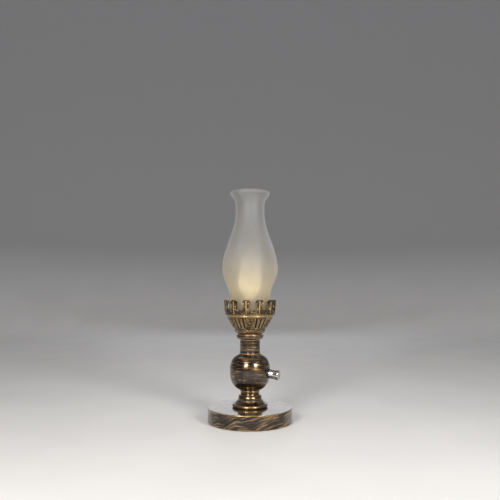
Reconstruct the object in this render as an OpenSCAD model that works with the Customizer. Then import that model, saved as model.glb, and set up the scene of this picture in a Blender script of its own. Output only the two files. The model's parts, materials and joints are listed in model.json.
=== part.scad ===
// Electric table lamp in the style of an oil lamp: a weighted round base, a bell foot, a ball that
// holds a rotary dimmer, a short neck, a cast gallery with a crown of prongs, and a lift-off glass
// chimney over a candle bulb. One threaded rod clamps the metal pieces from the base to the gallery.
// The origin is the centre of the face the lamp stands on. Millimetres, +Z up, -Y to the front.

/* [Base] */
// Diameter of the round base
base_d = 125; // [110:1:150]
// Height of the pressed base shell
base_h = 20.6; // [20:0.1:28]
// Thickness of the pressed and spun shells
sheet_t = 1.2; // [0.8:0.1:1.5]
// Radius of the edges of the base shell
base_edge_r = 0.8; // [0.4:0.1:1.5]
// Thickness of the felt pad
pad_t = 2; // [1.5:0.1:2.5]
// Gap between the shell's rim and the table
rim_gap = 0.6; // [0.3:0.1:1]
// Thickness of the steel bottom plate
plate_t = 1.6; // [1.2:0.1:2]
// Thickness of the cast-iron weight
weight_t = 10; // [9:0.5:12]
// Room between the weight and the shell's wall
weight_gap = 12.5; // [10:0.5:16]
// Diameter of the cord's way through the inlet bush
cord_way_d = 6.4; // [5:0.1:8]

/* [Foot and spacer] */
// Diameter of the bell foot where it stands on the base
foot_d = 52.8; // [44:0.2:64]
// Height of the bell foot
foot_h = 18; // [15:0.5:24]
// Diameter of the spacer ring under the ball
spacer_d = 28.8; // [26:0.2:34]
// Height of the spacer ring
spacer_h = 7.4; // [5:0.2:10]

/* [Ball and neck] */
// Diameter of the ball at its widest
ball_d = 60; // [60:1:74]
// Height of the ball between its flat ends
ball_h = 52; // [48:1:64]
// Height cut off the full ball at each end
ball_trim = 3; // [2:0.5:5]
// Squareness of the ball's outline: 2 is an ellipse
ball_power = 2.5; // [2:0.1:3]
// Diameter of the neck
neck_d = 29.4; // [26:0.2:36]
// Height of the neck
neck_h = 20.4; // [16:0.2:30]
// Diameter of the collar ring
collar_d = 41; // [36:0.5:50]
// Height of the collar ring
collar_h = 8; // [6:0.5:12]

/* [Gallery] */
// Diameter of the gallery cup at its rim
cup_d = 70; // [70:1:84]
// Height of the gallery cup
cup_h = 28.4; // [27:0.2:36]
// Thickness of the gallery castings
cast_t = 2.2; // [1.8:0.1:2.8]
// Height of the crown above the cup
crown_h = 22.9; // [20:0.1:28]
// How far the crown stands outside the cup at its top
crown_flare = 4.1; // [3:0.1:6]
// Number of prongs in the crown
prongs = 12; // [10:1:14]
// Width of the opening between two prongs' tips
prong_gap = 6.7; // [5:0.1:8]
// Diameter of the round gap between two prongs' stems
prong_hole_d = 12.6; // [10:0.1:13]
// Number of rosettes around the cup
rosettes = 6; // [4:1:8]
// Slots between two rosettes
slots_between = 3; // [2:1:4]

/* [Chimney] */
// Diameter of the chimney where it stands in the gallery
fitter_d = 62.6; // [62:0.2:63.5]
// Diameter of the chimney at its bulge
bulge_d = 84.2; // [72:0.5:100]
// Diameter of the chimney's throat
throat_d = 43.8; // [43:0.5:56]
// Diameter of the chimney's flared rim
rim_d = 60.4; // [56:0.2:72]
// Height of the chimney
chimney_h = 185.4; // [160:1:220]
// Thickness of the glass
glass_t = 2.2; // [1.6:0.1:2.6]

/* [Rod] */
// Diameter of the threaded rod
rod_d = 10; // [10:0.5:12]
// Diameter of the wire way through the rod
rod_bore_d = 7; // [7:0.1:8]
// Width across the flats of the rod's nuts
nut_af = 14; // [14:0.5:16]
// Thickness of the rod's nuts
nut_t = 4; // [3:0.5:5]
// Thickness of the rod's washers
washer_t = 1.2; // [1:0.1:1.6]

/* [Lampholder and bulb] */
// Outer diameter of the lampholder
holder_d = 28.8; // [27:0.2:32]
// Height of the lampholder's barrel
barrel_h = 29.6; // [26:0.2:34]
// Diameter of the bulb's screw cap
cap_d = 13.8; // [13.8:0.1:14.2]
// Diameter of the bulb's glass
bulb_d = 35; // [30:0.5:36]
// Length of the bulb
bulb_h = 98; // [92:1:106]

/* [Dimmer] */
// Direction in which the knob points, turned from +X towards -Y
dimmer_azimuth = 20; // [0:1:60]
// Angle by which the knob points down
dimmer_droop = 7; // [0:0.5:10]
// Height of the knob's axis above the ball's middle, at the lamp's axis
dimmer_rise = 1.5; // [0:0.1:3]
// Diameter of the dimmer's housing
dimmer_d = 18; // [16:0.5:18.5]
// Depth of the dimmer's housing
dimmer_depth = 14.5; // [13:0.5:16]
// Diameter of the dimmer's shaft
shaft_d = 6; // [5:0.1:6.4]
// Diameter of the knob at its tip
knob_d = 14.4; // [14:0.1:18]
// Length of the knob
knob_h = 14.2; // [13:0.1:18]

/* [Hidden] */
$fn = 96;

// Clearances
fit = 0.05;          // between pieces that seat in each other
free_gap = 0.3;      // between pieces that move past each other
rod_hole_d = rod_d + 0.4;
eps = 0.01;          // overrun of a cut past the face it opens

// Heights of the stack on the rod, from the table up
base_top = rim_gap + base_h;
foot_top = base_top + foot_h;
spacer_top = foot_top + spacer_h;
ball_mid = spacer_top + ball_h / 2;
ball_top = spacer_top + ball_h;
neck_top = ball_top + neck_h;
collar_top = neck_top + collar_h;
cup_top = collar_top + cup_h;
seat_t = 2.2;        // thickness of the crown's seat under the chimney
seat_top = cup_top + seat_t;
crown_top = cup_top + crown_h;
chimney_bottom = seat_top + free_gap;

// Base
shell_in_r = base_d / 2 - sheet_t;
plate_r = shell_in_r - 0.4;
plate_top = pad_t + plate_t;
weight_r = base_d / 2 - weight_gap;
weight_top = base_top - sheet_t;
weight_bottom = weight_top - weight_t;
weight_floor = 6;    // iron left above the lower nut
boss_r = 4;          // bosses that carry the bottom plate
boss_ring_r = weight_r - boss_r - 6;
boss_angles = [-90, 30, 150];
screw_r = 1.5;       // M3 screws
screw_head_r = 2.8;
bush_r = cord_way_d / 2 + 1.7;
bush_z = plate_top + bush_r + 1.8;
bush_flange_r = bush_r + 1.4;
bush_flange_t = 1.5;
bush_tail = 4.5;     // length of the bush inside the shell

// Terminal block in the weight's rear recess
block_w = 22;
block_l = 13;
block_h = 9;
block_y = weight_r - 11;
recess_h = 6;
block_top = weight_bottom + recess_h;
block_way_r = 1.6;   // wire ways through the block
block_way_x = 5.6;
block_way_z = block_top - 3.2;
block_screw_grip = 3; // length of the block's screw in the iron

// Rod, nuts and washers
rod_r = rod_d / 2;
washer_r = nut_af / 2 + 3;
lower_washer_z = weight_bottom + weight_t - weight_floor - washer_t;
lower_nut_z = lower_washer_z - nut_t;
rod_bottom = lower_nut_z - 1;
upper_washer_z = collar_top + cast_t;
upper_nut_z = upper_washer_z + washer_t;

// Ball
ball_a = ball_d / 2;
ball_b = ball_h / 2 + ball_trim;
ball_hole_r = dimmer_d / 2 + 0.6;
function ball_outline(a, b, half, steps) =
    [for (i = [0 : steps]) let (z = -half + 2 * half * i / steps)
        [a * pow(1 - pow(abs(z) / b, ball_power), 1 / ball_power), ball_mid + z]];

// Gallery
cup_r = cup_d / 2;
cup_foot_r = collar_d / 2 - 2.5;
flute_bottom = collar_top + 8.8;
flute_bottom_r = cup_foot_r + 6;
flute_top = cup_top - 2.4;
flute_top_r = cup_r - 0.8;
flute_angle = atan2(flute_top_r - flute_bottom_r, flute_top - flute_bottom);
flute_l = norm([flute_top_r - flute_bottom_r, flute_top - flute_bottom]);
relief = 0.8;        // depth of slots and height of ribs and rosettes
crown_foot_r = cup_r + 2.2;
crown_top_r = cup_r + crown_flare - 0.1;
crown_angle = atan2(crown_top_r - crown_foot_r, crown_h - 2);
crown_wall = 1.8;
gap_z = cup_top + 14.3; // centre height of the round gaps
ear_z = crown_top - 3;
prong_flat = 2.2;    // half width of a prong's flat tip
rib_w = 2.2;         // width of the rib up each prong
lip_r = fitter_d / 2 + 0.6;

// Lampholder
holder_r = holder_d / 2;
holder_z = upper_nut_z + nut_t + 0.2;
holder_floor_t = 3.4;
rod_top = holder_z + holder_floor_t + 1.6;
barrel_z = holder_z + 13.4;
collar_in_r = holder_r - 2.3;
core_r = collar_in_r - 0.1;
core_z = barrel_z - 2;
core_t = 7;
core_top = core_z + core_t;
terminal_h = 2.6;
terminal_x = 6.5;
screw_shell_r = cap_d / 2 + free_gap + fit;
screw_shell_t = 0.4;

// Bulb
bulb_z = core_top + 1;
contact_h = 1.2;
insulator_h = 2.8;
thread_h = 15;
cap_pitch = 2.82;    // pitch of the cap's screw thread
cap_turns = 5;
cap_top = bulb_z + 26;
skirt_r = cap_d / 2 + 1.3;
bulb_neck_r = skirt_r - 0.4;
bulb_wide_z = bulb_z + 50;
bulb_glass_t = 0.7;
stem_top = cap_top + 14;
filament_z = bulb_wide_z + 2;
filament_r = 6;

// Dimmer: lengths along its axis, from the lamp's axis outwards
dimmer_z = ball_mid + dimmer_rise;
wall_at = ball_a / cos(dimmer_droop);
housing_front = wall_at - 4.2;
housing_back = housing_front - dimmer_depth;
housing_t = 1.2;
board_at = housing_back + 3;
shoulder_r = 5.6;
bushing_r = shaft_d / 2 + 1;
saddle_r = 6.6;
saddle_face = wall_at + 0.8;
dimmer_nut_t = 2;
dimmer_nut_af = 2 * bushing_r + 2;
bushing_end = saddle_face + dimmer_nut_t + 1.4;
knob_root = saddle_face + 0.4;
knob_tip = knob_root + knob_h;
knob_r = knob_d / 2;
knob_waist_r = knob_r - 0.7;
knob_root_r = knob_r - 0.4;
knob_well_r = dimmer_nut_af / 2 / cos(30) + free_gap;
shaft_end = knob_tip - 2.6;
wiper_at = housing_front - housing_t - 2.8;
flat_depth = 0.6;    // depth of the flat on the shaft
knob_screw_at = (bushing_end + shaft_end) / 2 + 0.4;

// Leads
lead_r = 0.9;
bend_r = lead_r + 0.02; // the insulation bulges a little where a lead bends
lead_side = 1.5;     // how far the two dimmer leads run to either side of the dimmer's axis
slot_w = 2 * (lead_side + lead_r) + 1.2;
slot_low = dimmer_z - 6;
slot_high = dimmer_z + 4;
function turned(u, v, z) =
    [u * cos(dimmer_azimuth) + v * sin(dimmer_azimuth),
     -u * sin(dimmer_azimuth) + v * cos(dimmer_azimuth), z];

// Outline helpers
function arc(centre, r, from, to, steps) =
    [for (i = [0 : steps]) let (a = from + (to - from) * i / steps)
        centre + r * [cos(a), sin(a)]];
function ease(t) = (1 - cos(180 * t)) / 2;

// A round way through a piece along +Y, starting at y
module way_along_y(x, z, y, r, length) {
    translate([x, y, z]) rotate([-90, 0, 0]) cylinder(r = r, h = length);
}

// Children drawn along +Z end up along the dimmer's axis
module along_dimmer(distance) {
    translate([0, 0, dimmer_z]) rotate([0, 0, -dimmer_azimuth]) rotate([0, 90 + dimmer_droop, 0])
        translate([0, 0, distance]) children();
}

// ---- Base ----

module felt_pad() {
    color("#2b2826") cylinder(r = plate_r - 0.5, h = pad_t);
}

module screw_places() {
    for (a = boss_angles) rotate([0, 0, a]) translate([boss_ring_r, 0, 0]) children();
}

module bottom_plate() {
    color("#8d8f91") difference() {
        translate([0, 0, pad_t]) cylinder(r = plate_r, h = plate_t);
        screw_places() {
            translate([0, 0, pad_t - eps]) cylinder(r = screw_r + 0.2, h = plate_t + 2 * eps);
            translate([0, 0, pad_t - eps])
                cylinder(r1 = screw_head_r + 3 * fit, r2 = screw_r + 3 * fit, h = plate_t - 0.3);
        }
    }
}

module bottom_screws() {
    color("#b9bcc0") screw_places() difference() {
        union() {
            translate([0, 0, pad_t + fit])
                cylinder(r1 = screw_head_r, r2 = screw_r, h = plate_t - 0.3);
            translate([0, 0, pad_t + fit]) cylinder(r = screw_r, h = 9);
        }
        translate([0, 0, pad_t]) cylinder(r = 1, h = 0.9, $fn = 6);
    }
}

module base_weight() {
    color("#3a3a3c") difference() {
        union() {
            translate([0, 0, weight_bottom]) cylinder(r = weight_r, h = weight_t);
            screw_places() translate([0, 0, plate_top])
                cylinder(r = boss_r, h = weight_bottom - plate_top + eps);
        }
        translate([0, 0, weight_bottom - eps]) cylinder(d = rod_hole_d, h = weight_t + 2 * eps);
        translate([0, 0, weight_bottom - eps])
            cylinder(r = washer_r + 1, h = weight_t - weight_floor + eps);
        translate([-block_w / 2 - 2, block_y - block_l / 2 - 9, weight_bottom - eps])
            cube([block_w + 4, weight_r, recess_h + eps]);
        screw_places() translate([0, 0, plate_top - eps]) cylinder(r = screw_r + fit, h = 9);
        translate([0, block_y, block_top - eps])
            cylinder(r = screw_r + fit, h = block_screw_grip + 0.3);
    }
}

module base_shell() {
    outer = base_d / 2;
    color("#4a3a2c") difference() {
        rotate_extrude() polygon(concat(
            [[rod_hole_d / 2, base_top]],
            arc([outer - base_edge_r, base_top - base_edge_r], base_edge_r, 90, 0, 6),
            arc([outer - base_edge_r / 2, rim_gap + base_edge_r / 2], base_edge_r / 2, 0, -90, 4),
            [[shell_in_r, rim_gap],
             [shell_in_r, base_top - sheet_t],
             [rod_hole_d / 2, base_top - sheet_t]]));
        way_along_y(0, bush_z, 0, bush_r + fit, base_d);
    }
}

module cord_bush() {
    wall_y = base_d / 2;
    color("#1c1b1a") difference() {
        union() {
            way_along_y(0, bush_z, wall_y - sheet_t - bush_tail, bush_r,
                        sheet_t + bush_tail + bush_flange_t);
            way_along_y(0, bush_z, wall_y, bush_flange_r, bush_flange_t);
            way_along_y(0, bush_z, wall_y - sheet_t - bush_tail, bush_r + 0.6, 2.4);
        }
        way_along_y(0, bush_z, 0, cord_way_d / 2, base_d);
    }
}

// ---- Terminal block ----

module terminal_block() {
    color("#d8d4c6") difference() {
        translate([-block_w / 2, block_y - block_l / 2, block_top - block_h])
            cube([block_w, block_l, block_h]);
        for (side = [-1, 1]) {
            way_along_y(side * block_way_x, block_way_z, 0, block_way_r, base_d);
            for (end = [-1, 1])
                translate([side * block_way_x, block_y + end * 3.2, block_top - block_h - eps])
                    cylinder(r = 1.6, h = block_h - 4.8);
        }
        translate([0, block_y, block_top - block_h - eps]) {
            cylinder(r = screw_r + 0.2, h = block_h + 2 * eps);
            cylinder(r = screw_head_r + 0.2, h = 2.4);
        }
    }
}

module terminal_screws() {
    color("#c9a24b") for (side = [-1, 1]) for (end = [-1, 1])
        translate([side * block_way_x, block_y + end * 3.2, block_top - block_h + 0.6])
            difference() {
                cylinder(r = 1.5, h = 3.4);
                translate([-1.6, -0.25, -eps]) cube([3.2, 0.5, 0.7]);
            }
}

module block_screw() {
    color("#b9bcc0") translate([0, block_y, block_top - block_h]) difference() {
        union() {
            translate([0, 0, 0.5]) cylinder(r = screw_head_r, h = 1.8);
            translate([0, 0, 0.5]) cylinder(r = screw_r, h = block_h - 0.5 + block_screw_grip);
        }
        translate([-0.4, -screw_head_r - eps, 0]) cube([0.8, 2 * screw_head_r + 2 * eps, 1.2]);
    }
}

// ---- Rod ----

module threaded_rod() {
    color("#c4a866") difference() {
        translate([0, 0, rod_bottom]) cylinder(r = rod_r, h = rod_top - rod_bottom);
        translate([0, 0, rod_bottom - eps])
            cylinder(d = rod_bore_d, h = rod_top - rod_bottom + 2 * eps);
        rotate([0, 0, -dimmer_azimuth]) translate([0, -slot_w / 2, slot_low])
            cube([rod_d, slot_w, slot_high - slot_low]);
    }
}

module hex_nut(z) {
    translate([0, 0, z]) difference() {
        cylinder(r = nut_af / 2 / cos(30), h = nut_t, $fn = 6);
        translate([0, 0, -eps]) cylinder(r = rod_r + fit, h = nut_t + 2 * eps);
    }
}

module rod_nuts() {
    color("#b9bcc0") {
        hex_nut(lower_nut_z);
        hex_nut(upper_nut_z);
    }
}

module rod_washers() {
    color("#b9bcc0") for (z = [lower_washer_z, upper_washer_z]) translate([0, 0, z]) difference() {
        cylinder(r = washer_r, h = washer_t);
        translate([0, 0, -eps]) cylinder(r = rod_r + 0.15, h = washer_t + 2 * eps);
    }
}

// ---- Foot, spacer, ball, neck and collar ----

module bell_foot() {
    edge_r = 2.6;                       // half the thickness of the foot's round edge
    edge_c = [foot_d / 2 - edge_r, base_top + edge_r];
    top_r = spacer_d / 2;
    bead_top = [top_r - 0.2, foot_top];
    bead_bottom = foot_top - 7.2;
    bead_r = top_r + 3.2;
    flare_top = [bead_r + 0.7, bead_bottom - 0.5];
    flare_foot = [foot_d / 2 - 1.6, base_top + 2 * edge_r - 0.3];
    cavity_r = foot_d / 2 - 3.4;
    color("#3d2e22") rotate_extrude() polygon(concat(
        [[rod_hole_d / 2, foot_top], bead_top],
        [for (i = [1 : 10]) let (t = 90 * i / 10)
            [bead_top[0] + (bead_r - bead_top[0]) * sin(t),
             bead_bottom + (foot_top - bead_bottom) * cos(t)]],
        [flare_top],
        [for (i = [1 : 7]) let (t = i / 8)
            [flare_top[0] + (flare_foot[0] - flare_top[0]) * t,
             flare_top[1] + (flare_foot[1] - flare_top[1]) * t - 0.5 * sin(180 * t)]],
        arc(edge_c, edge_r, 68, -90, 12),
        [[cavity_r, base_top],
         [cavity_r - 1.6, base_top + edge_r],
         [top_r - 2.6, bead_bottom],
         [top_r - 4, foot_top - 2.4],
         [rod_hole_d / 2, foot_top - 2.4]]));
}

module spacer_ring() {
    r = spacer_d / 2;
    color("#2e2520") rotate_extrude() polygon(concat(
        [[rod_hole_d / 2, foot_top], [r - 0.6, foot_top]],
        arc([r + 1.2, foot_top + spacer_h * 0.36], 1.8, 215, 150, 6),
        [[r - 0.5, foot_top + spacer_h * 0.62]],
        arc([r - 0.55, foot_top + spacer_h * 0.74], 0.8, -60, 75, 6),
        [[r + 0.3, spacer_top - 0.4], [r + 0.3, spacer_top],
         [ball_hole_r - fit, spacer_top],
         [ball_hole_r - fit, spacer_top + sheet_t],
         [rod_hole_d / 2, spacer_top + sheet_t]]));
}

module ball_solid(inset) {
    rotate_extrude() polygon(concat(
        [[0, ball_mid - ball_h / 2 + inset]],
        ball_outline(ball_a - inset, ball_b - inset, ball_h / 2 - inset, 30),
        [[0, ball_mid + ball_h / 2 - inset]]));
}

module ball_shell() {
    color("#54432c") difference() {
        ball_solid(0);
        ball_solid(sheet_t);
        translate([0, 0, spacer_top - eps]) cylinder(r = ball_hole_r, h = ball_h + 2 * eps);
        along_dimmer(housing_front) cylinder(r = bushing_r + 0.15, h = ball_a);
    }
}

module neck_cup() {
    r = neck_d / 2;
    color("#5d3f26") rotate_extrude() polygon(concat(
        [[rod_hole_d / 2, ball_top], [r + 0.7, ball_top]],
        arc([r + 2.4, ball_top + 2.6], 2.4, 235, 180, 5),
        [[r, neck_top], [r - sheet_t, neck_top],
         [r - sheet_t, ball_top + sheet_t],
         [rod_hole_d / 2, ball_top + sheet_t]]));
}

module collar_ring() {
    r = collar_d / 2;
    spigot_r = neck_d / 2 - sheet_t - fit;
    round_r = collar_h - 3;
    color("#7a5a36") rotate_extrude() polygon(concat(
        [[rod_hole_d / 2, collar_top], [r - 0.9, collar_top]],
        arc([r - 0.9, collar_top - 0.9], 0.9, 80, 0, 4),
        [[r, neck_top + round_r + 0.5]],
        arc([r - round_r, neck_top + round_r + 0.5], round_r, -10, -80, 8),
        [[neck_d / 2 + 0.4, neck_top],
         [spigot_r, neck_top],
         [spigot_r, neck_top - 2.5],
         [rod_hole_d / 2, neck_top - 2.5]]));
}

// ---- Gallery ----

// Children drawn around the origin, +Z along the cup's outward normal and +Y up its slope
module on_flutes(angle, up) {
    r = flute_bottom_r + up * sin(flute_angle);
    z = flute_bottom + up * cos(flute_angle);
    rotate([0, 0, angle]) translate([r, 0, z]) rotate([0, flute_angle, 0]) rotate([90, 0, 90])
        children();
}

module gallery_cup() {
    pitch = 360 / rosettes;
    slot_pitch = pitch / (slots_between + 2);
    bowl_w = flute_bottom_r - 0.9 - cup_foot_r;
    bowl_h = flute_bottom - collar_top - 2.4;
    color("#6b5636") {
        difference() {
            rotate_extrude() polygon(concat(
                [[rod_hole_d / 2, collar_top], [cup_foot_r, collar_top],
                 [cup_foot_r, collar_top + 1.2]],
                [for (i = [0 : 6]) let (a = 90 * i / 6)
                    [cup_foot_r + 0.3 + bowl_w * sin(a), collar_top + 1.4 + bowl_h * (1 - cos(a))]],
                [[flute_bottom_r - 0.6, flute_bottom - 0.7], [flute_bottom_r, flute_bottom],
                 [flute_top_r, flute_top]],
                arc([cup_r - 1.1, cup_top - 1.1], 1.1, -60, 90, 8),
                [[flute_top_r - cast_t, cup_top],
                 [flute_top_r - cast_t, flute_top],
                 [flute_bottom_r - cast_t, flute_bottom],
                 [cup_foot_r + 1, collar_top + 4.6],
                 [cup_foot_r - 1.5, collar_top + cast_t],
                 [rod_hole_d / 2, collar_top + cast_t]]));
            for (k = [0 : rosettes - 1]) for (s = [1 : slots_between])
                on_flutes(k * pitch - 90 + (s + 0.5) * slot_pitch, flute_l / 2)
                    cube([2.6, flute_l - 4, 2 * relief], center = true);
        }
        for (k = [0 : rosettes - 1]) on_flutes(k * pitch - 90, flute_l / 2) {
            translate([0, 0, -1]) cylinder(r = 5.4, h = 1 + relief);
            translate([0, 0, relief - eps]) cylinder(r1 = 2.2, r2 = 1.2, h = 0.8);
        }
    }
}

// The space between two prongs, seen along a radius: a round hole, a straight slot above it
// and a widening mouth that runs past the crown's top
module prong_gap_outline() {
    over = 1;
    ear = prong_gap / 2;
    mouth = crown_top_r * tan(180 / prongs) - prong_flat;
    mouth_over = ear + (mouth - ear) * (crown_top + over - ear_z) / (crown_top - ear_z);
    translate([0, gap_z]) circle(d = prong_hole_d);
    translate([-ear, gap_z]) square([prong_gap, crown_top - gap_z]);
    polygon([[-ear, ear_z], [ear, ear_z],
             [mouth_over, crown_top + over], [-mouth_over, crown_top + over]]);
}

module gallery_crown() {
    spigot_r = flute_top_r - cast_t - 0.2;
    wall_r = crown_foot_r - crown_wall; // inside of the crown's wall at its foot
    first = -98.5;                      // direction of the first prong
    color("#5a4628") {
        difference() {
            rotate_extrude() polygon(concat(
                [[crown_foot_r - 2, cup_top]],
                arc([crown_foot_r - 1.2, cup_top + 1.2], 1.2, -80, 0, 5),
                [[crown_foot_r, cup_top + 2], [crown_top_r, crown_top],
                 [crown_top_r - crown_wall, crown_top],
                 [wall_r, seat_top],
                 [lip_r + 1.3, seat_top], [lip_r + 1.3, seat_top + 2.2],
                 [lip_r, seat_top + 2.2], [lip_r, seat_top],
                 [lip_r - 5, seat_top], [lip_r - 5, cup_top],
                 [spigot_r - 1.2, cup_top], [spigot_r - 1.2, flute_top + 0.4],
                 [spigot_r, flute_top + 0.4], [spigot_r, cup_top]]));
            for (k = [0 : prongs - 1]) rotate([0, 0, first + (k + 0.5) * 360 / prongs])
                rotate([90, 0, 90]) translate([0, 0, wall_r - 2])
                    linear_extrude(crown_top_r - wall_r + 4) prong_gap_outline();
        }
        for (k = [0 : prongs - 1]) rotate([0, 0, first + k * 360 / prongs])
            translate([crown_foot_r, 0, cup_top + 2]) rotate([0, crown_angle, 0])
                translate([-1, -rib_w / 2, 0.4]) cube([1 + relief, rib_w, crown_h - 3.6]);
    }
}

// ---- Chimney ----

straight_h = 26;     // heights up the chimney: its straight foot, bulge, throat and flare
bulge_z = 67;
throat_z = chimney_h - 30.4;
flare_z = chimney_h - 22.4;
lip_h = 4.6;

function chimney_radius(z) =
    let (fr = fitter_d / 2, br = bulge_d / 2, tr = throat_d / 2)
    z < straight_h ? fr
    : z < bulge_z ? fr + (br - fr) * ease((z - straight_h) / (bulge_z - straight_h))
    : z < throat_z ? br + (tr - br) * ease((z - bulge_z) / (throat_z - bulge_z))
    : tr;

module chimney() {
    flare_end = chimney_h - lip_h;
    rise = flare_end - flare_z;
    throat_r = throat_d / 2;
    lip_in = rim_d / 2 - 1;
    // The flare is an arc that starts upright at the throat and ends under the lip
    spread = lip_in - throat_r;
    flare_r = (rise * rise + spread * spread) / (2 * spread);
    flare_turn = asin(rise / flare_r);
    outer = concat(
        [for (z = [0, 0.5, 1] * straight_h) [fitter_d / 2, z]],
        [for (i = [1 : 10]) let (z = straight_h + (bulge_z - straight_h) * i / 10)
            [chimney_radius(z), z]],
        [for (i = [1 : 18]) let (z = bulge_z + (throat_z - bulge_z) * i / 18)
            [chimney_radius(z), z]],
        [for (i = [0 : 8]) let (a = flare_turn * i / 8)
            [throat_r + flare_r * (1 - cos(a)), flare_z + flare_r * sin(a)]],
        [for (i = [1 : 4]) let (t = i / 4)
            [lip_in + (rim_d / 2 - lip_in) * sin(90 * t), flare_end + (lip_h - 0.8) * t]]);
    count = len(outer);
    inner = [for (i = [count - 1 : -1 : 0]) outer[i] - [glass_t, 0]];
    lip_c = [rim_d / 2 - glass_t / 2, chimney_h - 0.8];
    color([0.93, 0.92, 0.88, 0.6]) translate([0, 0, chimney_bottom])
        rotate_extrude() polygon(concat(
            outer,
            [for (a = [30 : 30 : 150]) lip_c + [glass_t / 2 * cos(a), 0.8 * sin(a)]],
            inner));
}

// ---- Lampholder ----

module holder_base() {
    color("#1b1a19") difference() {
        union() {
            translate([0, 0, holder_z]) cylinder(r = holder_r, h = barrel_z - holder_z);
            translate([0, 0, barrel_z - eps]) cylinder(r = holder_r - 1.6, h = 3.5);
        }
        translate([0, 0, holder_z - eps])
            cylinder(r = rod_r + fit, h = holder_floor_t + 2 * eps);
        translate([0, 0, holder_z + holder_floor_t])
            cylinder(r = collar_in_r - 1.5, h = core_z - holder_z - holder_floor_t + eps);
        translate([0, 0, core_z]) cylinder(r = collar_in_r, h = barrel_z + 4 - core_z);
    }
}

module holder_core() {
    color("#e9e4d8") difference() {
        translate([0, 0, core_z]) cylinder(r = core_r, h = core_t);
        translate([0, 0, core_z + 4]) cylinder(r = 5, h = core_t);
        for (side = [-1, 1]) rotate([0, 0, -dimmer_azimuth])
            translate([side * terminal_x, 0, core_z - eps]) cylinder(r = 1.2, h = 3);
    }
}

module holder_terminals() {
    color("#c9a24b") rotate([0, 0, -dimmer_azimuth]) for (side = [-1, 1])
        translate([side * terminal_x, 0, core_z - terminal_h]) {
            cylinder(r = 2.2, h = terminal_h);
            cylinder(r = 1.15, h = terminal_h + 2.8);
        }
}

module holder_barrel() {
    color("#1b1a19") difference() {
        translate([0, 0, barrel_z]) cylinder(r = holder_r, h = barrel_h);
        translate([0, 0, barrel_z - eps]) cylinder(r = holder_r - 1.5, h = barrel_h - 2.2);
        translate([0, 0, barrel_z]) cylinder(r = skirt_r + 1, h = barrel_h + eps);
    }
}

module holder_screw_shell() {
    outer = screw_shell_r + screw_shell_t;
    color("#cfc39a") translate([0, 0, core_top]) rotate_extrude() polygon([
        [screw_shell_r, screw_shell_t], [screw_shell_r, thread_h + 4], [outer, thread_h + 4],
        [outer, screw_shell_t], [core_r - 0.8, screw_shell_t], [core_r - 0.8, 0],
        [screw_shell_r, 0]]);
}

module holder_contact() {
    top = bulb_z - free_gap;
    color("#c9a24b") rotate([90, 0, 0]) linear_extrude(3, center = true) polygon([
        [-4.4, core_z + 4], [-1.2, core_z + 4], [2.2, top - 0.4], [3.6, top - 1.2],
        [3.6, top - 0.8], [2.2, top], [1.6, top], [-1.5, core_z + 4.4], [-4.4, core_z + 4.4]]);
}

// ---- Bulb ----

module bulb_contact() {
    color("#b9bcc0") translate([0, 0, bulb_z]) rotate_extrude() polygon([
        [0, 0], [1.4, 0.15], [2.2, 0.6], [2.4, contact_h], [0, contact_h]]);
}

module bulb_insulator() {
    color("#201f24") translate([0, 0, bulb_z + contact_h])
        cylinder(r1 = 3.2, r2 = cap_d / 2 - 0.9, h = insulator_h);
}

module bulb_cap() {
    base = bulb_z + contact_h + insulator_h;
    r = cap_d / 2;
    root_r = r - 0.7;
    wall = 0.35;
    thread_top = base + 1 + cap_turns * cap_pitch;
    color("#cfcabb") rotate_extrude() polygon(concat(
        [[root_r - 0.2, base]],
        [for (i = [0 : 2 * cap_turns]) [i % 2 == 0 ? root_r : r, base + 0.5 + i * cap_pitch / 2]],
        [[r - 0.2, thread_top], [r - 0.2, cap_top - 5],
         [skirt_r, cap_top - 2], [skirt_r, cap_top], [skirt_r - wall, cap_top],
         [skirt_r - wall, cap_top - 2], [r - 0.2 - wall, cap_top - 5],
         [root_r - wall, thread_top - 1], [root_r - wall, base + 0.5], [root_r - 0.2 - wall, base]]));
}

function bulb_radius(t) = bulb_d / 2 * pow(1 - pow(t, 1.9), 0.62);

module bulb_glass() {
    neck = [for (i = [0 : 10]) let (t = i / 10)
        [bulb_neck_r + (bulb_d / 2 - bulb_neck_r) * ease(t),
         cap_top + (bulb_wide_z - cap_top) * t]];
    top_h = bulb_z + bulb_h - bulb_wide_z;
    crown = [for (i = [1 : 15]) let (t = sin(90 * i / 16)) [bulb_radius(t), bulb_wide_z + top_h * t]];
    outer = concat([[bulb_neck_r - 0.1, cap_top - 1.8]], neck, crown);
    count = len(outer);
    color([0.98, 0.95, 0.85, 0.9]) rotate_extrude() polygon(concat(
        outer,
        [[0, bulb_z + bulb_h], [0, bulb_z + bulb_h - 1.4]],
        [for (i = [count - 2 : -1 : 0]) outer[i] - [bulb_glass_t, 0]]));
}

module bulb_stem() {
    color([0.9, 0.93, 0.93, 0.8]) rotate_extrude() polygon([
        [0, cap_top - 2], [5.6, cap_top - 2], [3.4, cap_top + 2], [2.6, stem_top - 3],
        [1.8, stem_top], [0, stem_top]]);
}

module bulb_filament() {
    wire_r = 0.35;
    foot_z = stem_top - 2;      // where the support wires leave the stem
    reach = filament_r - 1.2;
    rise = filament_z - foot_z;
    color("#8f8a80") {
        translate([0, 0, filament_z]) rotate_extrude(angle = 300)
            translate([filament_r, 0]) circle(r = 0.6);
        for (a = [0, 100, 200, 300]) rotate([0, 0, a]) translate([1.2, 0, foot_z])
            rotate([0, atan2(reach, rise), 0]) cylinder(r = wire_r, h = norm([reach, rise]));
    }
}

// ---- Dimmer ----

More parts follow.
